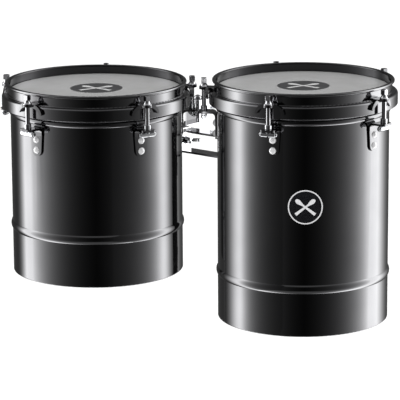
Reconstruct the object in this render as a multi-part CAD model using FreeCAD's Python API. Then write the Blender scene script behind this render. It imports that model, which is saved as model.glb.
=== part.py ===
# A pair of steel-shell timbales joined by two brackets and hung from one stand rod.
# Units are millimetres, +Z is up and -Y is the player's front.
# The origin is where the stand rod enters the clamp: on the rod's axis, at the bore's lower mouth.
# Heights inside a drum are measured from the top of that drum's hoop, so they are negative.
# An azimuth is the direction out of a drum's axis, in degrees: 0 is -Y and 90 is +X.
import FreeCAD, Part
import math
import os

Vector = FreeCAD.Vector
UP = Vector(0, 0, 1)

# ---- the two drums -------------------------------------------------------------------------
SHELL_R = 101.6                 # outside radius of both shells: an 8 inch drum
SHELL_WALL = 1.4
AXIS_GAP = 245.3                # between the two drum axes
LEFT_DEPTH = 227.3              # hoop top to the shell's lower edge
RIGHT_DEPTH = 288.3
RIGHT_RAISED = 4.0              # the right hoop stands this much above the left one
LUGS = 5                        # tuning stations on each drum
LEFT_FIRST_LUG = 35.4           # azimuth of each drum's first station
RIGHT_FIRST_LUG = -18.7

# ---- drumhead ------------------------------------------------------------------------------
HEAD_Z = -10.5                  # upper face of the film
HEAD_R = 102.0                  # outside of the film's collar
FILM = 0.35
COLLAR_BOTTOM = -19.0
FLESH_R_IN = 102.6
FLESH_R_OUT = 108.4
FLESH_HEIGHT = 5.2

# ---- counter hoop --------------------------------------------------------------------------
HOOP_SHEET = 2.0
LIP_R = 107.5                   # outside of the rolled lip
LIP_ROUND = 1.9
THROAT_R = 102.6                # inside of the upright wall
NECK_R = 104.7                  # outside of the upright wall
SHELF_Z = -14.2                 # step that the claws pull on
SHELF_FILLET = 1.0
BAND_R = 111.4                  # outside of the lower band
BAND_BOTTOM = -29.0
SHOULDER = 3.0
BAND_EDGE = 0.7

# ---- shell beads ---------------------------------------------------------------------------
SHELL_TOP = HEAD_Z - FILM       # bearing edge
TOP_BEAD_Z = -34.5
TOP_BEAD_HEIGHT = 7.0
TOP_BEAD_PROUD = 1.6
LOW_BEAD_ABOVE_BASE = 57.0
LOW_BEAD_HEIGHT = 10.0
LOW_BEAD_PROUD = 1.8
HEM_HEIGHT = 3.6                # doubled lower edge, turned inwards
HEM_R_IN = 99.0
HEM_ROUND = 1.0
EDGE_ROUND = 0.55

# ---- tension rod, claw and nut ----------------------------------------------------------------
ROD_CIRCLE = 117.4              # radius on which the rods stand
ROD_R = 2.6
ROD_BOTTOM = -45.0
ROD_CHAMFER = 0.8
HEAD_TOP = -0.6                 # top of the square key head
HEAD_WIDTH = 6.0
HEAD_CORNER_R = 3.95
HEAD_ROUND = 1.0
HEAD_FOOT = -6.3
BELL_TOP_R = 3.1
BELL_WAIST = (3.6, -8.5)         # a point on the bell's hollow flank
BELL_R = 5.2
BELL_RIM = 1.0
CLAW_TOP = -11.5
CLAW_GAP = 0.1                  # free play between the turning flange and the claw
CLAW_HOLE_R = 3.0
CLAW_NOSE_R = 5.6
CLAW_INNER_R = 105.4
CLAW_WAIST_R = 111.0
CLAW_HEEL = 7.0                 # half widths of the claw's pad
CLAW_WAIST = 8.5
# One prong's front outline: it springs from the pad, sweeps out and down and ends in a blunt toe.
PRONG_SPRING = ((4.8, CLAW_TOP), (8.4, CLAW_TOP))
PRONG_OUTER = ((14.6, -15.0), (18.2, -21.8))
PRONG_TOE = ((17.3, -23.4), (15.6, -22.4))
PRONG_INNER = ((11.6, -17.8), (4.8, -15.4))
PRONG_R_IN = 112.0
PRONG_R_OUT = 115.6
NUT_TOP = -34.4
NUT_NECK_R = 4.0
NUT_ROOT_R = 3.2                # the neck inside the barrel
NUT_BORE_R = ROD_R + 0.06
BARREL_R = 3.3                  # the nut's cross barrel, which hangs under the lug's shelf
BARREL_HALF = 8.8
BARREL_BUTTON_R = 2.2
BARREL_BUTTON = 2.0
BUTTON_ROUND = 1.0

# ---- lug --------------------------------------------------------------------------------------
LUG_TOP = -40.0
LUG_HALF = 8.75                 # half width of the shelf and of the plate's upper end
LUG_NOSE_R = 123.5              # front edge of the shelf
LUG_CORNER = 4.0
LUG_BEND = 4.0                  # inside radius where the plate turns out into the shelf
LUG_NECK_HOLE_R = 4.3
PLATE = 2.5
PLATE_SHOULDER_Z = -50.0
PLATE_TIP = 7.5                 # radius of the plate's rounded lower end
PLATE_TIP_Z = -67.2
BOLT_HEIGHTS = (-55.1, -67.5)
BOLT_R = 2.5
BOLT_HOLE_R = 2.6
BOLT_HEAD_R = 4.2
BOLT_HEAD_HEIGHT = 3.0
BOLT_LENGTH = 11.5              # from the outer face of the clamped sheet inwards
NUT_FLAT_R = 4.4                # corner radius of the hexagon nuts
NUT_HEIGHT = 3.6
NUT_SEAT_R = 99.9               # outer face of the nuts inside the shell

# ---- badge -----------------------------------------------------------------------------------
BADGE_R = 20.3
BADGE_THICK = 0.8
BADGE_AZIMUTH = 2.6
BADGE_Z = -132.7

# ---- brackets ---------------------------------------------------------------------------------
STRAP_WIDTH = 19.0
STRAP_AZIMUTH = 144.0           # the left drum's arm
STRAP_THICK = 3.0
STRAP_TOP = -78.5
STRAP_END_R = 203.0
STRAP_FOOT_BOTTOM = -112.0
STRAP_BOLTS = (-91.5, -104.0)
U_AZIMUTH = -126.0              # the right drum's arm, square to the left one
U_THICK = 2.5
U_LEG_TOP = -83.4              # outer faces of the two legs, from the right hoop's top
U_LEG_BOTTOM = -111.6
U_WEB_R = 182.25                # outer face of the web
U_FOOT_TOP = -65.0
U_FOOT_BOTTOM = -135.0
U_BOLTS = (-75.0, -125.0)
BEND = 3.0

# ---- pivot between the drums ----------------------------------------------------------------
PIVOT_R = 3.0
PIVOT_HOLE_R = 3.1
PIVOT_Z = 0.5 * (U_LEG_TOP + U_LEG_BOTTOM)
TAB_GAP = 0.1                   # between the tab and the web that turns on it
TAB_THICK = 3.0
TAB_HALF = 12.0
TAB_BELOW_PIVOT = 13.0
THREAD_PLAY = 0.05              # round a screw in its threaded bore
BOLT_SPARE = 2.5                # the pivot bolt stands out of its nut
WING_HUB_R = 4.2
WING_HUB_FLARE = 1.0            # the hub's foot is wider by this
WING_FLARE_HEIGHT = 1.6
WING_HUB_HEIGHT = 8.0
WING_HUB_ROUND = 1.2
WING_CROWN = 0.6
WING_ROOT = 0.5                 # the blades start this far off the axis
WING_LOW = (1.8, 2.2)           # height of a blade's lower edge, at the axis and past the hub
WING_HIGH = 7.0
WING_SPREAD = 1.2               # a blade's lower edge leaves the hub this far out
WING_REACH = 8.2                # centre of a wing's round tip, out from the axis
WING_RISE = 12.5                # and along it
WING_TIP_R = 2.6
WING_THICK = 3.2
PIVOT_NUT_HEIGHT = 5.0
PIVOT_NUT_CORNER = 5.8

# ---- stand rod clamp -----------------------------------------------------------------------
STAND_REACH = 190.0             # left drum's axis to the stand rod's axis
STAND_BORE_R = 6.45             # for a 12.7 mm rod
STAND_PASS_R = 7.0              # the rod's hole through the strap
BORE_DEPTH = 24.5
CLAMP_HEIGHT = 28.5
CLAMP_WIDTH = 22.0
CLAMP_R_IN = 177.0
CLAMP_ROUND = 3.0
CLAMP_TOP_ROUND = 1.5
CLAMP_OVERLAP = 1.0             # the cap and the boss run this far into the block
CAP_R = 4.75
CAP_HEIGHT = 4.0
BOSS_R = 7.0
BOSS_END_R = 206.0
SCREW_R = 4.0
SCREW_Z = -64.5
SCREW_TIP_GAP = 0.15
SCREW_HUB_R = 5.6
SCREW_CLEAR = 0.3               # between the wing screw's hub and the boss
FIXING_R = 1.5
FIXING_RADII = (180.0, 200.0)
FIXING_DEPTH = 9.0
FIXING_HEAD_R = 2.6
FIXING_HEAD = 1.8


# ---- drawing helpers -------------------------------------------------------------------------
def in_section(radius, height):
    """Point of an upright section through the Z axis."""
    return Vector(radius, 0, height)


def in_plan(across, radius):
    """Point of a flat plan, with the drum's outward direction along -Y."""
    return Vector(across, -radius, 0)


def face(items, to_space=in_section):
    """Closed face: an item is a point (a, b), a corner (a, b, radius, from, to) given by its
    centre and angles in degrees, or an arc ((via), (end)) from the item before it."""
    edges = []
    first = None
    here = None

    def line_to(point):
        if here is not None and here.distanceToPoint(point) > 1e-6:
            edges.append(Part.makeLine(here, point))

    for item in items:
        if isinstance(item[0], tuple):
            via, end = (to_space(*point) for point in item)
            edges.append(Part.Arc(here, via, end).toShape())
            here = end
        elif len(item) == 5:
            a, b, radius, start, stop = item
            spots = []
            for angle in (start, 0.5 * (start + stop), stop):
                turn = math.radians(angle)
                spots.append(to_space(a + radius * math.cos(turn), b + radius * math.sin(turn)))
            line_to(spots[0])
            edges.append(Part.Arc(*spots).toShape())
            first = first or spots[0]
            here = spots[2]
        else:
            point = to_space(*item)
            line_to(point)
            first = first or point
            here = point
    line_to(first)
    return Part.Face(Part.Wire(edges))


def turned(items):
    """Body of revolution about Z."""
    return face(items).revolve(Vector(), UP, 360)


def slab(across, radii, heights):
    """Block between two positions across, two radii and two heights."""
    corner = Vector(across[0], -radii[1], heights[0])
    return Part.makeBox(across[1] - across[0], radii[1] - radii[0], heights[1] - heights[0], corner)


def ring(r_in, r_out, z_low, z_high):
    outer = Part.makeCylinder(r_out, z_high - z_low, Vector(0, 0, z_low))
    return outer.cut(Part.makeCylinder(r_in, z_high - z_low, Vector(0, 0, z_low)))


def upright(radius, at_radius, z_low, z_high):
    """Vertical cylinder at a distance in front of the drum's axis."""
    return Part.makeCylinder(radius, z_high - z_low, Vector(0, -at_radius, z_low))


def outward(shape, height):
    """Turn a body made along +Z so that it points out of the drum at a height."""
    body = shape.copy()
    body.rotate(Vector(), Vector(1, 0, 0), 90)
    body.translate(Vector(0, 0, height))
    return body


def radial_hole(radius, r_low, r_high, height):
    return outward(Part.makeCylinder(radius, r_high - r_low, Vector(0, 0, r_low)), height)


def hexagon(corner_r, low, high, bore_r):
    points = [(corner_r, angle) for angle in range(0, 420, 60)]
    corners = [Vector(r * math.cos(math.radians(a)), r * math.sin(math.radians(a)), low)
               for r, a in points]
    blank = Part.Face(Part.makePolygon(corners)).extrude(Vector(0, 0, high - low))
    return blank.cut(Part.makeCylinder(bore_r, high - low, Vector(0, 0, low)))


def rounded(shape, radius, chosen):
    """Fillet the edges whose middle satisfies the test."""
    edges = [edge for edge in shape.Edges if chosen(edge.CenterOfMass)]
    return shape.makeFillet(radius, edges)


def direction(azimuth):
    turn = math.radians(azimuth)
    return Vector(math.sin(turn), -math.cos(turn), 0)


# ---- the two drums as data ---------------------------------------------------------------------
LEFT_AXIS = direction(STRAP_AZIMUTH) * -STAND_REACH
LEFT = {
    "name": "left",
    "hoop_top": LEFT_AXIS + Vector(0, 0, -STRAP_TOP),
    "depth": LEFT_DEPTH,
    "first_lug": LEFT_FIRST_LUG,
    "arm": STRAP_AZIMUTH,
    "arm_bolts": STRAP_BOLTS,
    "arm_sheet": STRAP_THICK,
}
RIGHT = {
    "name": "right",
    "hoop_top": LEFT["hoop_top"] + Vector(AXIS_GAP, 0, RIGHT_RAISED),
    "depth": RIGHT_DEPTH,
    "first_lug": RIGHT_FIRST_LUG,
    "arm": U_AZIMUTH,
    "arm_bolts": U_BOLTS,
    "arm_sheet": U_THICK,
}


def lug_azimuths(drum):
    return [drum["first_lug"] + 360.0 / LUGS * station for station in range(LUGS)]


def placed(shape, drum, azimuth=0.0):
    """Carry a body drawn in front of the axis round to its azimuth on a drum."""
    body = shape.copy()
    body.rotate(Vector(), UP, azimuth)
    body.translate(drum["hoop_top"])
    return body


# ---- shell and head ----------------------------------------------------------------------------
def bead(wall_r, middle, height, proud, rising):
    """Shallow round bead pressed out of the wall."""
    radius = (height ** 2 / 4 + proud ** 2) / (2 * proud)
    half = math.degrees(math.asin(height / 2 / radius))
    ends = (-half, half) if rising else (half, -half)
    return (wall_r + proud - radius, middle, radius) + ends


def shell(drum):
    base = -drum["depth"]
    inside = SHELL_R - SHELL_WALL
    low_bead = base + LOW_BEAD_ABOVE_BASE
    body = turned([
        (SHELL_R - EDGE_ROUND, SHELL_TOP - EDGE_ROUND, EDGE_ROUND, 90, 0),
        bead(SHELL_R, TOP_BEAD_Z, TOP_BEAD_HEIGHT, TOP_BEAD_PROUD, False),
        bead(SHELL_R, low_bead, LOW_BEAD_HEIGHT, LOW_BEAD_PROUD, False),
        (SHELL_R - HEM_ROUND, base + HEM_ROUND, HEM_ROUND, 0, -90),
        (HEM_R_IN + HEM_ROUND, base + HEM_ROUND, HEM_ROUND, 270, 180),
        (HEM_R_IN + HEM_ROUND, base + HEM_HEIGHT - HEM_ROUND, HEM_ROUND, 180, 90),
        (inside, base + HEM_HEIGHT),
        bead(inside, low_bead, LOW_BEAD_HEIGHT, LOW_BEAD_PROUD, True),
        bead(inside, TOP_BEAD_Z, TOP_BEAD_HEIGHT, TOP_BEAD_PROUD, True),
        (inside + EDGE_ROUND, SHELL_TOP - EDGE_ROUND, EDGE_ROUND, 180, 90),
    ])
    holes = [(azimuth, height) for azimuth in lug_azimuths(drum) for height in BOLT_HEIGHTS]
    holes += [(drum["arm"], height) for height in drum["arm_bolts"]]
    for azimuth, height in holes:
        hole = radial_hole(BOLT_HOLE_R, HEM_R_IN, BAND_R, height)
        hole.rotate(Vector(), UP, azimuth)
        body = body.cut(hole)
    return placed(body, drum)


def drumhead(drum):
    fold = 0.8
    inner_r = HEAD_R - FILM
    inner_fold = fold - FILM
    cap = turned([
        (0, HEAD_Z),
        (HEAD_R - fold, HEAD_Z - fold, fold, 90, 0),
        (HEAD_R, COLLAR_BOTTOM),
        (inner_r, COLLAR_BOTTOM),
        (inner_r - inner_fold, HEAD_Z - fold, inner_fold, 0, 90),
        (0, HEAD_Z - FILM),
    ])
    return placed(cap, drum)


def flesh_hoop(drum):
    top = SHELF_Z - HOOP_SHEET
    corner = 1.2
    body = turned([
        (FLESH_R_IN, top),
        (FLESH_R_OUT - corner, top - corner, corner, 90, 0),
        (FLESH_R_OUT - corner, top - FLESH_HEIGHT + corner, corner, 0, -90),
        (FLESH_R_IN, top - FLESH_HEIGHT),
    ])
    return placed(body, drum)


def counter_hoop(drum):
    band_in = BAND_R - HOOP_SHEET
    hollow = 1.2
    body = turned([
        (THROAT_R, SHELF_Z - HOOP_SHEET),
        (THROAT_R + HOOP_SHEET, -HOOP_SHEET, HOOP_SHEET, 180, 90),
        (LIP_R - LIP_ROUND, -LIP_ROUND, LIP_ROUND, 90, -90),
        (NECK_R, -2 * LIP_ROUND),
        (NECK_R + SHELF_FILLET, SHELF_Z + SHELF_FILLET, SHELF_FILLET, 180, 270),
        (BAND_R - SHOULDER, SHELF_Z - SHOULDER, SHOULDER, 90, 0),
        (BAND_R - BAND_EDGE, BAND_BOTTOM + BAND_EDGE, BAND_EDGE, 0, -90),
        (band_in + BAND_EDGE, BAND_BOTTOM + BAND_EDGE, BAND_EDGE, 270, 180),
        (band_in - hollow, SHELF_Z - HOOP_SHEET - hollow, hollow, 0, 90),
    ])
    return placed(body, drum)


# ---- one tuning station ------------------------------------------------------------------------
def prong(side):
    """Leg of the claw that sweeps down outside the band, drawn as its front outline."""
    def mirrored(points):
        return tuple((side * across, height) for across, height in points)

    sweep = [*mirrored(PRONG_SPRING), mirrored(PRONG_OUTER), mirrored(PRONG_TOE), mirrored(PRONG_INNER)]
    depth = PRONG_R_OUT + PRONG_R_IN - 2 * CLAW_WAIST_R
    leg = face(sweep).extrude(Vector(0, -depth, 0))
    leg.translate(Vector(0, -CLAW_WAIST_R, 0))
    return leg.common(ring(PRONG_R_IN, PRONG_R_OUT, BAND_BOTTOM, CLAW_TOP))


def claw(drum, azimuth):
    pad = face([
        (-CLAW_HEEL, CLAW_INNER_R),
        (-CLAW_WAIST, CLAW_WAIST_R),
        (0, ROD_CIRCLE, CLAW_NOSE_R, 165, 15),
        (CLAW_WAIST, CLAW_WAIST_R),
        (CLAW_HEEL, CLAW_INNER_R),
    ], in_plan).extrude(Vector(0, 0, CLAW_TOP - SHELF_Z))
    pad.translate(Vector(0, 0, SHELF_Z))
    pad = pad.cut(Part.makeCylinder(NECK_R + SHELF_FILLET, -SHELF_Z, Vector(0, 0, SHELF_Z)))
    body = pad.fuse([prong(-1), prong(1)]).removeSplitter()
    body = body.cut(upright(CLAW_HOLE_R, ROD_CIRCLE, BAND_BOTTOM, 0))
    return placed(body, drum, azimuth)


def tension_rod(drum, azimuth):
    seat = CLAW_TOP + CLAW_GAP
    rod = turned([
        (0, HEAD_FOOT),
        (BELL_TOP_R, HEAD_FOOT),
        (BELL_WAIST, (BELL_R, seat + BELL_RIM)),
        (BELL_R, seat),
        (ROD_R, seat),
        (ROD_R, ROD_BOTTOM + ROD_CHAMFER),
        (ROD_R - ROD_CHAMFER, ROD_BOTTOM),
        (0, ROD_BOTTOM),
    ])
    half = HEAD_WIDTH / 2
    square = slab((-half, half), (-half, half), (HEAD_FOOT, HEAD_TOP))
    rounding = turned([
        (0, HEAD_FOOT),
        (HEAD_CORNER_R, HEAD_FOOT),
        (HEAD_CORNER_R - HEAD_ROUND, HEAD_TOP - HEAD_ROUND, HEAD_ROUND, 0, 90),
        (0, HEAD_TOP),
    ])
    rod = rod.fuse(square.common(rounding)).removeSplitter()
    rod.translate(Vector(0, -ROD_CIRCLE, 0))
    return placed(rod, drum, azimuth)


def lug_nut(drum, azimuth):
    """Cross barrel under the lug's shelf, with a neck that stands up through the shelf."""
    barrel_z = LUG_TOP - PLATE - BARREL_R
    end = BARREL_HALF + BARREL_BUTTON
    half = turned([
        (0, 0),
        (BARREL_R, 0),
        (BARREL_R - EDGE_ROUND, BARREL_HALF - EDGE_ROUND, EDGE_ROUND, 0, 90),
        (BARREL_BUTTON_R, BARREL_HALF),
        (BARREL_BUTTON_R - BUTTON_ROUND, end - BUTTON_ROUND, BUTTON_ROUND, 0, 90),
        (0, end),
    ])
    barrel = half.fuse(half.mirror(Vector(), UP)).removeSplitter()
    barrel.rotate(Vector(), Vector(0, 1, 0), 90)
    barrel.translate(Vector(0, 0, barrel_z))
    neck = turned([
        (0, barrel_z),
        (NUT_ROOT_R, barrel_z),
        (NUT_ROOT_R, LUG_TOP - PLATE),
        (NUT_NECK_R, LUG_TOP - PLATE),
        (NUT_NECK_R - EDGE_ROUND, NUT_TOP - EDGE_ROUND, EDGE_ROUND, 0, 90),
        (0, NUT_TOP),
    ])
    nut = barrel.fuse(neck).removeSplitter()
    nut = nut.cut(Part.makeCylinder(NUT_BORE_R, LEFT_DEPTH, Vector(0, 0, -LEFT_DEPTH)))
    nut.translate(Vector(0, -ROD_CIRCLE, 0))
    return placed(nut, drum, azimuth)


def lug(drum, azimuth):
    """Bent plate: it lies on the shell and turns out into a shelf that the nut pulls up on."""
    plate = face([
        (-LUG_HALF, PLATE_SHOULDER_Z),
        (LUG_HALF, PLATE_SHOULDER_Z),
        (0, PLATE_TIP_Z, PLATE_TIP, 0, -180),
    ]).extrude(Vector(0, -ROD_CIRCLE, 0))
    plate = plate.common(ring(SHELL_R, SHELL_R + PLATE, -LEFT_DEPTH, 0))
    bend_r = SHELL_R + PLATE + LUG_BEND
    bend_z = LUG_TOP - PLATE - LUG_BEND
    shelf = face([
        (SHELL_R, PLATE_SHOULDER_Z),
        (bend_r, bend_z, LUG_BEND + PLATE, 180, 90),
        (LUG_NOSE_R, LUG_TOP),
        (LUG_NOSE_R, LUG_TOP - PLATE),
        (bend_r, bend_z, LUG_BEND, 90, 180),
        (SHELL_R + PLATE, PLATE_SHOULDER_Z),
    ], lambda radius, height: Vector(-LUG_HALF, -radius, height)).extrude(Vector(2 * LUG_HALF, 0, 0))
    corner_r = LUG_NOSE_R - LUG_CORNER
    plan = face([
        (-LUG_HALF, 0),
        (LUG_HALF, 0),
        (LUG_HALF - LUG_CORNER, corner_r, LUG_CORNER, 0, 90),
        (LUG_CORNER - LUG_HALF, corner_r, LUG_CORNER, 90, 180),
    ], in_plan).extrude(Vector(0, 0, -LEFT_DEPTH))
    body = plate.fuse(shelf.common(plan)).removeSplitter()
    body = body.cut(upright(LUG_NECK_HOLE_R, ROD_CIRCLE, PLATE_SHOULDER_Z, LUG_TOP))
    for height in BOLT_HEIGHTS:
        body = body.cut(radial_hole(BOLT_HOLE_R, HEM_R_IN, BAND_R, height))
    return placed(body, drum, azimuth)


# ---- fasteners ---------------------------------------------------------------------------------
def dome_bolt(seat_r, height):
    """Round-headed bolt whose head sits at seat_r and whose shank points into the shell."""
    dome_r = (BOLT_HEAD_R ** 2 + BOLT_HEAD_HEIGHT ** 2) / (2 * BOLT_HEAD_HEIGHT)
    rim = math.degrees(math.acos(BOLT_HEAD_R / dome_r))
    body = turned([
        (0, seat_r - BOLT_LENGTH),
        (BOLT_R, seat_r - BOLT_LENGTH),
        (BOLT_R, seat_r),
        (0, seat_r + BOLT_HEAD_HEIGHT - dome_r, dome_r, rim, 90),
    ])
    return outward(body, height)


def shell_nut(height):
    return outward(hexagon(NUT_FLAT_R, NUT_SEAT_R - NUT_HEIGHT, NUT_SEAT_R, BOLT_HOLE_R), height)


def lug_fasteners(drum, make):
    return Part.makeCompound([placed(make(height), drum, azimuth)
                              for azimuth in lug_azimuths(drum) for height in BOLT_HEIGHTS])


def arm_fasteners(drum, make):
    return Part.makeCompound([placed(make(height), drum, drum["arm"])
                              for height in drum["arm_bolts"]])


# ---- badge -------------------------------------------------------------------------------------
def badge():
    disc = radial_hole(BADGE_R, 0, BAND_R, BADGE_Z)
    skin = ring(SHELL_R, SHELL_R + BADGE_THICK, BADGE_Z - BADGE_R, BADGE_Z + BADGE_R)
    return placed(disc.common(skin), RIGHT, BADGE_AZIMUTH)


# ---- brackets ----------------------------------------------------------------------------------
HALF_STRAP = STRAP_WIDTH / 2
# The right drum's axis, seen along and across the left drum's arm.
RIGHT_ALONG = AXIS_GAP * math.sin(math.radians(STRAP_AZIMUTH))
RIGHT_ACROSS = AXIS_GAP * math.cos(math.radians(STRAP_AZIMUTH))
WEB_ACROSS = RIGHT_ACROSS + U_WEB_R
TAB_FACE = WEB_ACROSS + TAB_GAP
PIVOT_LEFT_Z = PIVOT_Z + RIGHT_RAISED


def mount_strap():
    """Flat arm of the left drum: a foot on the shell, a hole for the stand rod and a folded tab."""
    bottom = STRAP_TOP - STRAP_THICK
    across = (-HALF_STRAP, HALF_STRAP)
    arm = slab(across, (SHELL_R, STRAP_END_R), (bottom, STRAP_TOP))
    foot = slab(across, (SHELL_R, SHELL_R + STRAP_THICK), (STRAP_FOOT_BOTTOM, STRAP_TOP))
    along = (RIGHT_ALONG - TAB_HALF, RIGHT_ALONG + TAB_HALF)
    wing = slab((TAB_FACE, 0), along, (bottom, STRAP_TOP))
    tab = slab((TAB_FACE, TAB_FACE + TAB_THICK), along, (PIVOT_LEFT_Z - TAB_BELOW_PIVOT, STRAP_TOP))
    body = arm.fuse([foot, wing, tab]).removeSplitter()
    body = rounded(body, BEND - 0.5, lambda middle: middle.z == STRAP_TOP and (
        abs(middle.y + SHELL_R) < 0.01 or abs(middle.x - TAB_FACE) < 0.01))
    for height in STRAP_BOLTS:
        body = body.cut(radial_hole(BOLT_HOLE_R, HEM_R_IN, BAND_R, height))
    body = body.cut(upright(STAND_PASS_R, STAND_REACH, bottom, STRAP_TOP))
    for radius in FIXING_RADII:
        body = body.cut(upright(FIXING_R, radius, bottom, STRAP_TOP))
    pivot_hole = Part.makeCylinder(PIVOT_HOLE_R, STRAP_WIDTH, Vector(TAB_FACE, -RIGHT_ALONG, PIVOT_LEFT_Z),
                                   Vector(1, 0, 0))
    return placed(body.cut(pivot_hole), LEFT, STRAP_AZIMUTH)


def u_bracket():
    """U-shaped arm of the right drum, with a foot above and a foot below."""
    across = (-HALF_STRAP, HALF_STRAP)
    foot = slab(across, (SHELL_R, SHELL_R + U_THICK), (U_FOOT_BOTTOM, U_FOOT_TOP))
    loop = slab(across, (SHELL_R, U_WEB_R), (U_LEG_BOTTOM, U_LEG_TOP))
    loop = rounded(loop, BEND, lambda middle: abs(middle.y + U_WEB_R) < 0.01 and abs(middle.x) < 0.01)
    inside = slab(across, (SHELL_R - U_THICK, U_WEB_R - U_THICK),
                  (U_LEG_BOTTOM + U_THICK, U_LEG_TOP - U_THICK))
    body = foot.fuse(loop).removeSplitter().cut(inside)
    for height in U_BOLTS:
        body = body.cut(radial_hole(BOLT_HOLE_R, HEM_R_IN, BAND_R, height))
    body = body.cut(radial_hole(PIVOT_HOLE_R, U_WEB_R - 2 * U_THICK, U_WEB_R, PIVOT_Z))
    return placed(body, RIGHT, U_AZIMUTH)


# ---- wing screws --------------------------------------------------------------------------------
def wing_screw(shank_r, shank_length, hub_r):
    """Screw along +Z with its seat at the origin and two splayed wings above it."""
    screw = turned([
        (0, -shank_length),
        (shank_r - ROD_CHAMFER, -shank_length),
        (shank_r, -shank_length + ROD_CHAMFER),
        (shank_r, 0),
        (hub_r + WING_HUB_FLARE, 0),
        (hub_r, WING_FLARE_HEIGHT),
        (hub_r - WING_HUB_ROUND, WING_HUB_HEIGHT - WING_HUB_ROUND, WING_HUB_ROUND, 0, 90),
        (0, WING_HUB_HEIGHT + WING_CROWN),
    ])
    for side in (-1, 1):
        tip = (side * WING_REACH, WING_RISE, WING_TIP_R, 90 - side * 120, 90 + side * 60)
        wing = face([
            (side * WING_ROOT, WING_LOW[0]),
            (side * (hub_r + WING_SPREAD), WING_LOW[1]),
            tip,
            (side * WING_ROOT, WING_HIGH),
        ])
        blade = wing.extrude(Vector(0, WING_THICK, 0))
        blade.translate(Vector(0, -WING_THICK / 2, 0))
        screw = screw.fuse(blade)
    return screw.removeSplitter()


def pivot_wing_bolt():
    """Bolt that clamps the web to the tab, entered from inside the U."""
    reach = U_THICK + TAB_GAP + TAB_THICK + PIVOT_NUT_HEIGHT + BOLT_SPARE
    bolt = wing_screw(PIVOT_R, reach, WING_HUB_R)
    bolt.rotate(Vector(), Vector(1, 0, 0), -90)
    bolt.translate(Vector(0, -(U_WEB_R - U_THICK - TAB_GAP), PIVOT_Z))
    return placed(bolt, RIGHT, U_AZIMUTH)


def pivot_nut():
    start = U_WEB_R + TAB_GAP + TAB_THICK
    nut = hexagon(PIVOT_NUT_CORNER, start, start + PIVOT_NUT_HEIGHT, PIVOT_R + THREAD_PLAY)
    return placed(outward(nut, PIVOT_Z), RIGHT, U_AZIMUTH)


# ---- stand rod clamp ------------------------------------------------------------------------------
def rod_clamp_body():
    half = CLAMP_WIDTH / 2
    top = STRAP_TOP + CLAMP_HEIGHT
    block = slab((-half, half), (CLAMP_R_IN, STRAP_END_R), (STRAP_TOP, top))
    block = rounded(block, CLAMP_ROUND, lambda middle: STRAP_TOP < middle.z < top)
    block = rounded(block, CLAMP_TOP_ROUND, lambda middle: middle.z == top)
    cap_ball = (CAP_R ** 2 + CAP_HEIGHT ** 2) / (2 * CAP_HEIGHT)
    cap = turned([
        (0, -CLAMP_OVERLAP),
        (CAP_R, -CLAMP_OVERLAP),
        (CAP_R, 0),
        (0, CAP_HEIGHT - cap_ball, cap_ball, math.degrees(math.acos(CAP_R / cap_ball)), 90),
    ])
    cap.translate(Vector(0, -STAND_REACH, top))
    boss = radial_hole(BOSS_R, STAND_REACH + STAND_BORE_R + CLAMP_OVERLAP, BOSS_END_R, SCREW_Z)
    body = block.fuse([cap, boss]).removeSplitter()
    body = body.cut(upright(STAND_BORE_R, STAND_REACH, STRAP_TOP, STRAP_TOP + BORE_DEPTH))
    body = body.cut(radial_hole(SCREW_R + THREAD_PLAY, STAND_REACH, BOSS_END_R, SCREW_Z))
    for radius in FIXING_RADII:
        body = body.cut(upright(FIXING_R, radius, STRAP_TOP, STRAP_TOP + FIXING_DEPTH))
    return placed(body, LEFT, STRAP_AZIMUTH)


def rod_clamp_screw():
    seat = BOSS_END_R + SCREW_CLEAR
    tip = STAND_REACH + STAND_BORE_R + SCREW_TIP_GAP
    screw = wing_screw(SCREW_R, seat - tip, SCREW_HUB_R)
    screw.translate(Vector(0, 0, seat))
    return placed(outward(screw, SCREW_Z), LEFT, STRAP_AZIMUTH)


def clamp_fixing_screws():
    bottom = STRAP_TOP - STRAP_THICK
    screws = []
    for radius in FIXING_RADII:
        screw = upright(FIXING_R, radius, bottom, STRAP_TOP + FIXING_DEPTH)
        head = upright(FIXING_HEAD_R, radius, bottom - FIXING_HEAD, bottom)
        screws.append(placed(screw.fuse(head).removeSplitter(), LEFT, STRAP_AZIMUTH))
    return Part.makeCompound(screws)


# ---- writing the sub-parts ------------------------------------------------------------------------
def drum_parts(drum):
    side = drum["name"] + "_"
    parts = {
        side + "shell": shell(drum),
        side + "drumhead": drumhead(drum),
        side + "flesh_hoop": flesh_hoop(drum),
        side + "hoop": counter_hoop(drum),
        side + "lug_bolts": lug_fasteners(drum, lambda z: dome_bolt(SHELL_R + PLATE, z)),
        side + "lug_bolt_nuts": lug_fasteners(drum, shell_nut),
        side + "arm_bolts": arm_fasteners(drum, lambda z: dome_bolt(SHELL_R + drum["arm_sheet"], z)),
        side + "arm_bolt_nuts": arm_fasteners(drum, shell_nut),
    }
    nuts = []
    for number, azimuth in enumerate(lug_azimuths(drum), start=1):
        parts[f"{side}claw_{number}"] = claw(drum, azimuth)
        parts[f"{side}tension_rod_{number}"] = tension_rod(drum, azimuth)
        parts[f"{side}lug_{number}"] = lug(drum, azimuth)
        nuts.append(lug_nut(drum, azimuth))
    parts[side + "lug_nuts"] = Part.makeCompound(nuts)
    return parts


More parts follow.
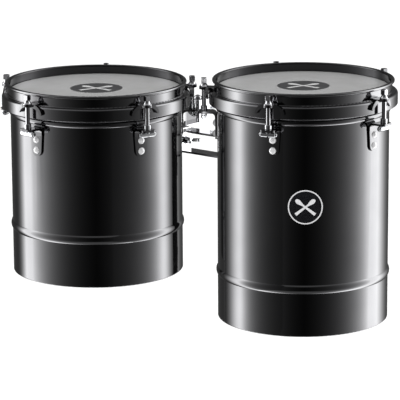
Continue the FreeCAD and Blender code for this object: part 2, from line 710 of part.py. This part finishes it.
def main():
    parts = {**drum_parts(LEFT), **drum_parts(RIGHT)}
    parts["left_mount_strap"] = mount_strap()
    parts["right_u_bracket"] = u_bracket()
    parts["right_badge"] = badge()
    parts["pivot_wing_bolt"] = pivot_wing_bolt()
    parts["pivot_nut"] = pivot_nut()
    parts["rod_clamp_body"] = rod_clamp_body()
    parts["rod_clamp_screw"] = rod_clamp_screw()
    parts["clamp_fixing_screws"] = clamp_fixing_screws()
    os.makedirs("parts", exist_ok=True)
    for node, shape in parts.items():
        shape.exportStep(f"parts/{node}.step")
        print(f"{node}: {len(shape.Solids)} solids, {shape.Volume:.0f} mm3, valid {shape.isValid()}")


main()
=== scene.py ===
import math

import bmesh
import bpy
from mathutils import Matrix, Vector


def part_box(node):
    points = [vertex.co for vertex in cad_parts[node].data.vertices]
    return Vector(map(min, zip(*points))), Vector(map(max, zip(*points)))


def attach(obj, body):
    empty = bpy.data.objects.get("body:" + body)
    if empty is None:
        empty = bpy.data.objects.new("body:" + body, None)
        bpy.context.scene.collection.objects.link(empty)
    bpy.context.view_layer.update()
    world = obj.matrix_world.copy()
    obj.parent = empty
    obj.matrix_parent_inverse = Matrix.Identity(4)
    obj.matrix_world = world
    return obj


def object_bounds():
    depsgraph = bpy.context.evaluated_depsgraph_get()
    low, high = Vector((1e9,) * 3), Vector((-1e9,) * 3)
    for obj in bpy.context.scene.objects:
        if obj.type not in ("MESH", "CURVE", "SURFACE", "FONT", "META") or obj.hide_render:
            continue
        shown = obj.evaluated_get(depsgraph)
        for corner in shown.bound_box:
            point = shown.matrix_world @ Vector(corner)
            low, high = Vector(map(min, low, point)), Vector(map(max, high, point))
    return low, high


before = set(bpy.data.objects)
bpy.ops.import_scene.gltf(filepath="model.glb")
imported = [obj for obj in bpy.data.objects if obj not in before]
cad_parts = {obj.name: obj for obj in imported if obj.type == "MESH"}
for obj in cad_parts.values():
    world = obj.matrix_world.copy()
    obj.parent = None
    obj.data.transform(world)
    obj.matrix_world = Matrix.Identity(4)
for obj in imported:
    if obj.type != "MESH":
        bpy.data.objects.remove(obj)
cad_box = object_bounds()
context = bpy.context
MM = 0.001
SIDES = ("left", "right")


# ---- where the drums stand, read from the frame -----------------------------------------------
def drum_axis(side):
    """Centre of a drum's hoop, at the height of the hoop's top."""
    low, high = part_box(side + "_hoop")
    return Vector(((low[0] + high[0]) / 2, (low[1] + high[1]) / 2, high[2]))


AXES = {side: drum_axis(side) for side in SIDES}
MIDDLE = Vector(((AXES["left"].x + AXES["right"].x) / 2, AXES["left"].y, AXES["left"].z))
FLOOR_DROP = 0.32
FLOOR_Z = cad_box[0][2] - FLOOR_DROP


# ---- camera -------------------------------------------------------------------------------------
CAMERA_AZIMUTH = math.radians(3.34)
CAMERA_PITCH = math.radians(13.08)
CAMERA_ROLL = math.radians(-0.339)
CAMERA_DISTANCE = 2.9776
CAMERA_RISE = 0.547
CAMERA_LENS = 230.6
SENSOR_WIDTH = 36.0
CAMERA_NEAR = 0.1
CAMERA_FAR = 60.0


def heading(azimuth):
    """Level direction at an angle from -Y, turning towards +X."""
    return Vector((math.sin(azimuth), -math.cos(azimuth), 0))


def add_camera():
    data = bpy.data.cameras.new("camera")
    data.lens = CAMERA_LENS
    data.sensor_width = SENSOR_WIDTH
    data.clip_start = CAMERA_NEAR
    data.clip_end = CAMERA_FAR
    camera = bpy.data.objects.new("camera", data)
    context.scene.collection.objects.link(camera)
    place = MIDDLE + heading(CAMERA_AZIMUTH) * CAMERA_DISTANCE + Vector((0, 0, CAMERA_RISE))
    turn = Matrix.Rotation(CAMERA_AZIMUTH, 4, "Z") @ Matrix.Rotation(math.pi / 2 - CAMERA_PITCH, 4, "X")
    camera.matrix_world = Matrix.Translation(place) @ turn @ Matrix.Rotation(CAMERA_ROLL, 4, "Z")
    context.scene.camera = camera


# ---- node helpers -------------------------------------------------------------------------------
class Wiring:
    """Short ways to add nodes to a tree and join them."""

    def __init__(self, tree):
        self.nodes, self.links = tree.nodes, tree.links

    def combine(self, operation, *values):
        """Arithmetic on outputs and numbers."""
        node = self.nodes.new("ShaderNodeMath")
        node.operation = operation
        for socket, value in zip(node.inputs, values):
            if isinstance(value, (int, float)):
                socket.default_value = value
            else:
                self.links.new(value, socket)
        return node.outputs["Value"]

    def vector(self, operation, first, second=(0, 0, 0), result="Vector"):
        node = self.nodes.new("ShaderNodeVectorMath")
        node.operation = operation
        self.links.new(first, node.inputs[0])
        node.inputs[1].default_value = second
        return node.outputs[result]

    def spread(self, value, low, high, start=0.3, stop=0.7, interpolation="LINEAR"):
        """The value from start to stop, carried to low to high."""
        ranged = self.nodes.new("ShaderNodeMapRange")
        ranged.interpolation_type = interpolation
        for socket, number in (("From Min", start), ("From Max", stop), ("To Min", low), ("To Max", high)):
            ranged.inputs[socket].default_value = number
        self.links.new(value, ranged.inputs["Value"])
        return ranged.outputs["Result"]


class Surface(Wiring):
    """A new node material with its shader and short ways to wire it."""

    def __init__(self, name, color, metallic, roughness, **inputs):
        self.material = bpy.data.materials.new(name)
        self.material.use_nodes = True
        super().__init__(self.material.node_tree)
        self.shader = self.nodes["Principled BSDF"]
        self.set("Base Color", (*color, 1))
        self.set("Metallic", metallic)
        self.set("Roughness", roughness)
        for socket, value in inputs.items():
            self.set(socket.replace("_", " "), value)
        self.place = self.nodes.new("ShaderNodeTexCoord").outputs["Object"]

    def set(self, socket, value):
        self.shader.inputs[socket].default_value = value

    def link(self, output, socket):
        self.links.new(output, self.shader.inputs[socket])

    def noise(self, scale, stretch=(1, 1, 1), detail=4.0, rough=0.55):
        mapping = self.nodes.new("ShaderNodeMapping")
        mapping.inputs["Scale"].default_value = stretch
        self.links.new(self.place, mapping.inputs["Vector"])
        noise = self.nodes.new("ShaderNodeTexNoise")
        noise.inputs["Scale"].default_value = scale
        noise.inputs["Detail"].default_value = detail
        noise.inputs["Roughness"].default_value = rough
        self.links.new(mapping.outputs["Vector"], noise.inputs["Vector"])
        return noise.outputs["Fac"]

    def tint(self, value, dark, light, start=0.3, stop=0.7):
        ramp = self.nodes.new("ShaderNodeValToRGB")
        ramp.color_ramp.elements[0].position = start
        ramp.color_ramp.elements[0].color = (*dark, 1)
        ramp.color_ramp.elements[1].position = stop
        ramp.color_ramp.elements[1].color = (*light, 1)
        self.links.new(value, ramp.inputs["Fac"])
        return ramp.outputs["Color"]

    def along(self, scale, origin=(0, 0, 0)):
        """Length of the place from an origin, each axis scaled first."""
        moved = self.vector("SUBTRACT", self.place, origin)
        return self.vector("LENGTH", self.vector("MULTIPLY", moved, scale), result="Value")

    def blend_color(self, factor, first, second):
        mix = self.nodes.new("ShaderNodeMix")
        mix.data_type = "RGBA"
        self.links.new(factor, mix.inputs["Factor"])
        for socket, value in ((mix.inputs[6], first), (mix.inputs[7], second)):
            if isinstance(value, tuple):
                socket.default_value = (*value, 1)
            else:
                self.links.new(value, socket)
        return mix.outputs[2]

    def bump(self, height, strength, distance):
        node = self.nodes.new("ShaderNodeBump")
        node.inputs["Strength"].default_value = strength
        node.inputs["Distance"].default_value = distance
        self.links.new(height, node.inputs["Height"])
        self.link(node.outputs["Normal"], "Normal")


# ---- materials ----------------------------------------------------------------------------------
# How fine each pattern is, in cycles a metre, and how deep its relief is.
CLOUD_SCALE = 9.0
SMEAR_SCALE = 26.0
RUB_SCALE = 420.0
RUB_STRETCH = (1, 1, 0.16)
RIPPLE_SCALE = 38.0
PLATE_RELIEF = 0.2 * MM
FINE_RELIEF = 0.1 * MM
HOOP_WAVE = 0.05
# Painted shade: the hoop's inner wall gets a darker base than its black nickel, which gives way to the
# plain finish between these distances from its inner wall.
PAINTED_SHADE_EDGE = (0.2 * MM, 1.4 * MM)
THREAD_PITCH = 1.0 * MM


def rub_marks(surface):
    return surface.noise(RUB_SCALE, stretch=RUB_STRETCH, detail=5.0)


def rippled(surface, rubs, wave):
    """Rub marks and a trace of waviness, as relief."""
    ripples = surface.noise(RIPPLE_SCALE, detail=2.0)
    surface.bump(surface.combine("ADD", rubs, ripples), wave, PLATE_RELIEF)


def plated(name, dark, light, rough_low, rough_high, wave=0.05, metallic=1.0):
    """Polished plate: a faint cloud in its tone, fine rub marks and a trace of waviness."""
    surface = Surface(name, light, metallic, rough_low)
    cloud = surface.noise(CLOUD_SCALE, detail=3.0)
    rubs = rub_marks(surface)
    surface.link(surface.tint(cloud, dark, light, 0.25, 0.75), "Base Color")
    smear = surface.combine("MULTIPLY", surface.noise(SMEAR_SCALE, detail=5.0), rubs)
    surface.link(surface.spread(smear, rough_low, rough_high, 0.12, 0.42), "Roughness")
    rippled(surface, rubs, wave)
    return surface.material


def hoop_material(side):
    """Black nickel outside, and painted shade on the wall that faces the film: a darker base there, which
    also dims its reflection.
    """
    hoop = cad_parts[side + "_hoop"]
    axis = hoop.matrix_world.inverted() @ AXES[side]
    throat = min(math.hypot(v.co.x - axis.x, v.co.y - axis.y) for v in hoop.data.vertices)
    surface = Surface(side + "_hoop_black_nickel_and_painted_shade", (0.2, 0.2, 0.205), 1.0, 0.08)
    cloud = surface.noise(CLOUD_SCALE, detail=3.0)
    outside = surface.tint(cloud, (0.16, 0.16, 0.165), (0.21, 0.21, 0.215), 0.25, 0.75)
    depth = surface.along((1, 1, 0), tuple(axis))
    clear_of_painted_shade = surface.spread(depth, 0.0, 1.0, throat + PAINTED_SHADE_EDGE[0], throat + PAINTED_SHADE_EDGE[1])
    # Painted shade: a near-black base on the inner wall, blended into the outer nickel tone.
    surface.link(surface.blend_color(clear_of_painted_shade, (0.045, 0.045, 0.047), outside), "Base Color")
    rubs = rub_marks(surface)
    surface.link(surface.spread(rubs, 0.06, 0.13), "Roughness")
    rippled(surface, rubs, HOOP_WAVE)
    return surface.material


def rod_material():
    """Bright plated rod with the fine ridges of its thread."""
    surface = Surface("rod_chrome", (0.62, 0.62, 0.64), 1.0, 0.08)
    cloud = surface.noise(60.0, detail=4.0)
    surface.link(surface.tint(cloud, (0.54, 0.54, 0.56), (0.68, 0.68, 0.70)), "Base Color")
    surface.link(surface.spread(surface.noise(300.0, detail=4.0), 0.06, 0.14), "Roughness")
    turns = surface.combine("MULTIPLY", surface.along((0, 0, 1)), 2 * math.pi / THREAD_PITCH)
    surface.bump(surface.combine("SINE", turns), 0.25, FINE_RELIEF)
    return surface.material


def film_material():
    """Grey coated film: soft sheen, faint haze and a fine sprayed tooth."""
    surface = Surface("head_film", (0.47, 0.47, 0.47), 0.0, 0.2, Coat_Weight=0.35, Coat_Roughness=0.08)
    haze = surface.noise(22.0, detail=3.0)
    surface.link(surface.tint(haze, (0.45, 0.45, 0.448), (0.49, 0.49, 0.49), 0.3, 0.7), "Base Color")
    surface.link(surface.spread(surface.noise(90.0, detail=2.0), 0.18, 0.22), "Roughness")
    surface.bump(surface.noise(1500.0, detail=1.0), 0.02, FINE_RELIEF)
    return surface.material


def ink_material(name, dark, light, roughness):
    """Ink or enamel with a fine grain."""
    surface = Surface(name, light, 0.0, roughness)
    grain = surface.noise(900.0, detail=3.0)
    surface.link(surface.tint(grain, dark, light), "Base Color")
    surface.link(surface.spread(grain, roughness * 0.85, roughness * 1.2), "Roughness")
    surface.bump(grain, 0.04, FINE_RELIEF)
    return surface.material


MATERIALS = {
    "shell": plated("shell_black_nickel", (0.15, 0.15, 0.155), (0.19, 0.19, 0.195), 0.05, 0.11),
    "left_hoop": hoop_material("left"),
    "right_hoop": hoop_material("right"),
    "rod": rod_material(),
    "film": film_material(),
    "channel": plated("flesh_channel", (0.50, 0.50, 0.51), (0.60, 0.60, 0.61), 0.25, 0.4),
    "hardware": plated("hardware_nickel", (0.30, 0.30, 0.31), (0.40, 0.40, 0.41), 0.05, 0.14),
    "lug": plated("lug_black_nickel", (0.15, 0.15, 0.155), (0.21, 0.21, 0.215), 0.07, 0.16),
    "satin": plated("satin_nickel", (0.80, 0.80, 0.81), (0.88, 0.88, 0.89), 0.24, 0.34, 0.03, 0.35),
    "chrome": plated("bright_chrome", (0.72, 0.73, 0.75), (0.83, 0.84, 0.86), 0.03, 0.09, 0.03),
    "bracket": plated("bracket_nickel", (0.46, 0.46, 0.47), (0.58, 0.58, 0.59), 0.06, 0.13),
    "enamel": ink_material("badge_enamel", (0.004, 0.004, 0.005), (0.012, 0.012, 0.014), 0.12),
    "print_dark": ink_material("print_dark", (0.030, 0.030, 0.032), (0.050, 0.050, 0.052), 0.35),
    "print_light": ink_material("print_light", (0.55, 0.55, 0.55), (0.66, 0.66, 0.66), 0.35),
    "silver": ink_material("silver_enamel", (0.62, 0.62, 0.63), (0.74, 0.74, 0.75), 0.3),
}
KINDS = (
    ("badge", "enamel"),
    ("drumhead", "film"),
    ("flesh_hoop", "channel"),
    ("shell", "shell"),
    ("left_hoop", "left_hoop"),
    ("right_hoop", "right_hoop"),
    ("claw", "lug"),
    ("tension_rod", "rod"),
    ("lug_bolt", "satin"),
    ("lug_nuts", "chrome"),
    ("arm_bolt", "chrome"),
    ("_lug_", "lug"),
    ("strap", "bracket"),
    ("u_bracket", "bracket"),
    ("clamp_body", "hardware"),
)


def finish_of(node):
    """Material of a node, by the first word in KINDS that its name holds."""
    for word, kind in KINDS:
        if word in node:
            return MATERIALS[kind]
    return MATERIALS["chrome"]


def dress_frame():
    for name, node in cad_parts.items():
        if not node.material_slots:
            node.data.materials.append(None)
        for slot in node.material_slots:
            slot.link = "OBJECT"
            slot.material = finish_of(name)


# ---- mesh helpers --------------------------------------------------------------------------------
ROUND_STEPS = 96
SHARP_ANGLE = math.radians(35)


def built_mesh(name, mesh_builder):
    mesh = bpy.data.meshes.new(name)
    work = bmesh.new()
    mesh_builder(work)
    work.to_mesh(mesh)
    work.free()
    return mesh


def new_piece(name, mesh_builder, material, body, bevel=0.0):
    """Added piece that rides a body, with its faces turned outward."""
    def outward(work):
        mesh_builder(work)
        bmesh.ops.recalc_face_normals(work, faces=work.faces)

    mesh = built_mesh(name, outward)
    piece = bpy.data.objects.new(name, mesh)
    context.scene.collection.objects.link(piece)
    mesh.materials.append(material)
    mesh.shade_smooth()
    if bevel:
        soften = piece.modifiers.new("bevel", "BEVEL")
        soften.width = bevel
        soften.segments = 2
        soften.limit_method = "ANGLE"
    mesh.set_sharp_from_angle(angle=SHARP_ANGLE)
    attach(piece, body)
    return piece


def prism(work, outline, low, high, to_space):
    """Closed solid of a flat outline between two heights, each point carried by to_space."""
    lower = [work.verts.new(to_space(a, b, low)) for a, b in outline]
    upper = [work.verts.new(to_space(a, b, high)) for a, b in outline]
    work.faces.new(lower)
    work.faces.new(upper)
    count = len(outline)
    for i in range(count):
        j = (i + 1) % count
        work.faces.new((lower[i], lower[j], upper[j], upper[i]))


def circle(radius):
    turns = [2 * math.pi * k / ROUND_STEPS for k in range(ROUND_STEPS)]
    return [(radius * math.cos(turn), radius * math.sin(turn)) for turn in turns]


def ring_solid(work, radii, low, high, to_space):
    """Closed ring between two radii and two heights."""
    inner, outer = radii
    loops = [[work.verts.new(to_space(a, b, height)) for a, b in circle(radius)]
             for radius, height in ((inner, low), (outer, low), (outer, high), (inner, high))]
    for n, near in enumerate(loops):
        far = loops[(n + 1) % len(loops)]
        for k in range(ROUND_STEPS):
            m = (k + 1) % ROUND_STEPS
            work.faces.new((near[k], near[m], far[m], far[k]))


# ---- the plain device on the badge and the heads: two crossed sticks ----------------------------
# Lengths are parts of the field's radius, and the bead's and neck's are parts of the stick's width
# or the bead's.
STICK_LENGTH = 1.6
STICK_HALF_WIDTH = 0.10
STICK_TILTS = (math.radians(38), math.radians(142))
BEAD_WIDTH = 1.5
BEAD_LENGTH = 1.6
BEAD_STEPS = 12
NECK_BACK = 4.2
NECK_WIDTH = 0.55


def stick(length, half_width, tilt):
    """Outline of a drumstick lying at an angle, with an oval tip at its upper end."""
    half = length / 2
    bead = BEAD_WIDTH * half_width
    neck = half - NECK_BACK * bead
    reach = BEAD_LENGTH * bead
    points = [(-half, -half_width), (neck, -NECK_WIDTH * half_width)]
    for k in range(BEAD_STEPS + 1):
        angle = -math.pi / 2 + math.pi * k / BEAD_STEPS
        points.append((half - reach + reach * math.cos(angle), bead * math.sin(angle)))
    points += [(neck, NECK_WIDTH * half_width), (-half, half_width)]
    cos_t, sin_t = math.cos(tilt), math.sin(tilt)
    return [(x * cos_t - y * sin_t, x * sin_t + y * cos_t) for x, y in points]


def device(radius):
    """Outlines of the crossed sticks that fit a round field."""
    return [stick(STICK_LENGTH * radius, STICK_HALF_WIDTH * radius, tilt) for tilt in STICK_TILTS]


# ---- printed emblem on each head -----------------------------------------------------------------
EMBLEM_R = 31.0 * MM
EMBLEM_BACK = 5.0 * MM
PRINT = 0.05 * MM
EMBLEM_FIELD = 0.92
PRINT_STEP = 0.4


def add_emblem(side):
    low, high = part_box(side + "_drumhead")
    centre = Vector(((low[0] + high[0]) / 2, (low[1] + high[1]) / 2 + EMBLEM_BACK, high[2]))

    def on_film(a, b, height):
        return centre + Vector((a, b, height))

    body = side + "_drum"
    new_piece(side + "_head_print", lambda w: prism(w, circle(EMBLEM_R), 0.0, PRINT, on_film),
              MATERIALS["print_dark"], body)

    def light_print(work):
        for n, outline in enumerate(device(EMBLEM_FIELD * EMBLEM_R)):
            prism(work, outline, PRINT, (2 + PRINT_STEP * n) * PRINT, on_film)

    new_piece(side + "_head_device", light_print, MATERIALS["print_light"], body)


# ---- badge ---------------------------------------------------------------------------------------
RING_WIDTH = 1.5 * MM
RELIEF = 0.45 * MM
RIM_INSET = 0.1 * MM
RIM_ROOT = 0.3 * MM
RIM_BEVEL = 0.15 * MM
STICK_ROOT = 0.1 * MM
STICK_BEVEL = 0.08 * MM
STICK_FIELD_INSET = 1.6 * RING_WIDTH
STICK_RELIEF = (0.7 * RELIEF, 1.0 * RELIEF)


def add_badge():
    low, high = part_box("right_badge")
    centre = Vector([(a + b) / 2 for a, b in zip(low, high)])
    axis = AXES["right"]
    offset = Vector((centre.x - axis.x, centre.y - axis.y))
    azimuth = math.atan2(offset.x, -offset.y)
    field_r = (high[2] - low[2]) / 2
    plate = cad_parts["right_badge"]
    corners = [plate.matrix_world @ vertex.co for vertex in plate.data.vertices]
    face_r = max(math.hypot(point.x - axis.x, point.y - axis.y) for point in corners)

    def on_badge(a, b, height):
        turn = azimuth + a / face_r
        radius = face_r + height
        return Vector((axis.x + radius * math.sin(turn), axis.y - radius * math.cos(turn), centre.z + b))

    def rim(work):
        ring_solid(work, (field_r - RING_WIDTH, field_r - RIM_INSET), -RIM_ROOT, RELIEF, on_badge)

    def sticks(work):
        for outline, relief in zip(device(field_r - STICK_FIELD_INSET), STICK_RELIEF):
            prism(work, outline, -STICK_ROOT, relief, on_badge)

    new_piece("right_badge_rim", rim, MATERIALS["silver"], "right_drum", RIM_BEVEL)
    new_piece("right_badge_device", sticks, MATERIALS["silver"], "right_drum", STICK_BEVEL)


# ---- studio --------------------------------------------------------------------------------------
DOME_R = 9.0
DOME_GLOW = 1.05
FLOOR_R = 8.5


def stage_object(name, mesh, material):
    item = bpy.data.objects.new(name, mesh)
    context.scene.collection.objects.link(item)
    mesh.materials.append(material)
    return item


def glow(name, strength):
    """Even white emission."""
    material = bpy.data.materials.new(name)
    material.use_nodes = True
    nodes, links = material.node_tree.nodes, material.node_tree.links
    nodes.remove(nodes["Principled BSDF"])
    emission = nodes.new("ShaderNodeEmission")
    emission.inputs["Strength"].default_value = strength
    links.new(emission.outputs["Emission"], nodes["Material Output"].inputs["Surface"])
    return material


def add_surround():
    """Pale floor and a white dome. Polished metal doesn't mirror them, as with flags in a studio."""
    def dome(work):
        bmesh.ops.create_icosphere(work, subdivisions=4, radius=DOME_R)
        bmesh.ops.translate(work, verts=work.verts, vec=MIDDLE)

    def disc(work):
        bmesh.ops.create_circle(work, cap_ends=True, segments=ROUND_STEPS, radius=FLOOR_R)
        bmesh.ops.translate(work, verts=work.verts, vec=(MIDDLE.x, MIDDLE.y, FLOOR_Z))

    backdrop = stage_object("backdrop", built_mesh("backdrop", dome), glow("backdrop_white", DOME_GLOW))
    backdrop.visible_glossy = False
    backdrop.visible_shadow = False
    pale = Surface("floor_pale", (0.97, 0.97, 0.97), 0.0, 0.9)
    floor = stage_object("floor", built_mesh("floor", disc), pale.material)
    floor.visible_glossy = False


# A tall soft light stands on each side, a little behind the drums. Seen from them it is even in its
# middle and fades slowly towards the camera and quickly towards the back. The one on the right
# reaches further back. Angles are in degrees from the camera's side.
SIDE_LIGHT_AT = 104.0
FADE_FORWARD = 16.5
FADE_BACK = 19.0
FADE_BACK_UNEVEN = 5.0
SIDE_GLOW = 6.0
SIDE_GLOW_MOST = 4.3
BACK_GLOW = 0.08
BACK_EDGE = (0.0, 30.0)
# The side lights reach up to about here, and weak fill comes from overhead and from the floor.
SIDE_LIGHT_TOP = (25.0, 60.0)
SIDE_LIGHT_ABOVE = 0.2
FILL_GLOW = 0.22
OVERHEAD_EDGE = (28.0, 50.0)
FLOOR_EDGE = (-50.0, -30.0)
# Two narrow upright lights back to back between the drums, as seen in their facing sides. Each is
# given by how far its middle stands in front of the line between the axes and how far it fades
# forward and back.
GAP_LIGHTS = {"left": (48 * MM, 18 * MM, 17 * MM), "right": (68 * MM, 16 * MM, 23 * MM)}
GAP_GLOW = 3.9
GAP_GLOW_LEAST = 0.03
GAP_LIGHT_REACH = (0.24, 0.02)
GAP_LIGHT_BOTTOM = 0.34
GAP_LIGHT_APART = 1 * MM


def add_gap_light(side):
    """Strip light in the gap, on the side of one drum. Only polished metal mirrors it."""
    ahead, fade_forward, fade_back = GAP_LIGHTS[side]
    line_y = MIDDLE.y - ahead
    line_x = MIDDLE.x + (GAP_LIGHT_APART if side == "right" else -GAP_LIGHT_APART)
    ends = (line_y - GAP_LIGHT_REACH[0], MIDDLE.y - GAP_LIGHT_REACH[1])
    heights = (MIDDLE.z - GAP_LIGHT_BOTTOM, MIDDLE.z)
    corners = [(ends[0], heights[0]), (ends[1], heights[0]), (ends[1], heights[1]), (ends[0], heights[1])]

    def sheet(work):
        work.faces.new([work.verts.new((line_x, y, z)) for y, z in corners])

    material = glow(side + "_gap_light_glow", GAP_GLOW)
    wiring = Wiring(material.node_tree)
    split = wiring.nodes.new("ShaderNodeSeparateXYZ")
    wiring.links.new(wiring.nodes.new("ShaderNodeTexCoord").outputs["Object"], split.inputs["Vector"])
    past = wiring.combine("SUBTRACT", split.outputs["Y"], line_y)
    ahead_part = wiring.combine("DIVIDE", wiring.combine("MINIMUM", past, 0.0), fade_forward)
    back_part = wiring.combine("DIVIDE", wiring.combine("MAXIMUM", past, 0.0), fade_back)
    spread = wiring.combine("ADD", wiring.combine("MULTIPLY", ahead_part, ahead_part), 1.0)
    back_square = wiring.combine("MULTIPLY", back_part, back_part)
    fall = wiring.combine("EXPONENT", wiring.combine("MULTIPLY", back_square, -1.0))
    strength = wiring.combine("MULTIPLY", wiring.combine("DIVIDE", fall, spread), GAP_GLOW)
    total = wiring.combine("ADD", strength, GAP_GLOW_LEAST)
    wiring.links.new(total, wiring.nodes["Emission"].inputs["Strength"])
    card = stage_object(side + "_gap_light", built_mesh(side + "_gap_light", sheet), material)
    card.visible_camera = False
    card.visible_diffuse = False
    card.visible_shadow = False


def add_lights():
    """Soft studio light from all round, made in the world so that every side of a drum meets it."""
    world = bpy.data.worlds.new("studio")
    world.use_nodes = True
    wiring = Wiring(world.node_tree)
    nodes, links = wiring.nodes, wiring.links

    def step(value, edge, low, high):
        """From low to high while an angle crosses an edge given in degrees."""
        start, stop = (math.radians(angle) for angle in edge)
        return wiring.spread(value, low, high, start, stop, "SMOOTHSTEP")

    way = nodes.new("ShaderNodeTexCoord")
    turn = nodes.new("ShaderNodeMapping")
    turn.inputs["Rotation"].default_value = (0, 0, -CAMERA_AZIMUTH)
    split = nodes.new("ShaderNodeSeparateXYZ")
    links.new(way.outputs["Generated"], turn.inputs["Vector"])
    links.new(turn.outputs["Vector"], split.inputs["Vector"])
    front = wiring.combine("MULTIPLY", split.outputs["Y"], -1.0)
    bearing = wiring.combine("ABSOLUTE", wiring.combine("ARCTAN2", split.outputs["X"], front))
    height = wiring.combine("ARCSINE", split.outputs["Z"])
    past = wiring.combine("SUBTRACT", bearing, math.radians(SIDE_LIGHT_AT))
    flank = wiring.combine("SIGN", split.outputs["X"])
    uneven = wiring.combine("MULTIPLY", flank, math.radians(FADE_BACK_UNEVEN))
    fade_back = wiring.combine("ADD", uneven, math.radians(FADE_BACK))
    rise = wiring.combine("DIVIDE", wiring.combine("MINIMUM", past, 0.0), math.radians(FADE_FORWARD))
    fall = wiring.combine("DIVIDE", wiring.combine("MAXIMUM", past, 0.0), fade_back)
    shape = wiring.combine("SUBTRACT", rise, wiring.combine("MULTIPLY", fall, fall))
    side = wiring.combine("MULTIPLY", wiring.combine("EXPONENT", shape), SIDE_GLOW)
    side = wiring.combine("MINIMUM", side, SIDE_GLOW_MOST)
    behind = step(past, BACK_EDGE, 0.0, BACK_GLOW)
    upper_fade = step(height, SIDE_LIGHT_TOP, 1.0, SIDE_LIGHT_ABOVE)
    side = wiring.combine("MULTIPLY", wiring.combine("ADD", side, behind), upper_fade)
    above = step(height, OVERHEAD_EDGE, 0.0, FILL_GLOW)
    below = step(height, FLOOR_EDGE, FILL_GLOW, 0.0)
    total = wiring.combine("ADD", side, wiring.combine("ADD", above, below))
    links.new(total, nodes["Background"].inputs["Strength"])
    nodes["Background"].inputs["Color"].default_value = (1, 1, 1, 1)
    context.scene.world = world


add_camera()
dress_frame()
for side in SIDES:
    add_emblem(side)
add_badge()
add_surround()
add_lights()
for side in SIDES:
    add_gap_light(side)
context.scene.view_settings.view_transform = "Standard"
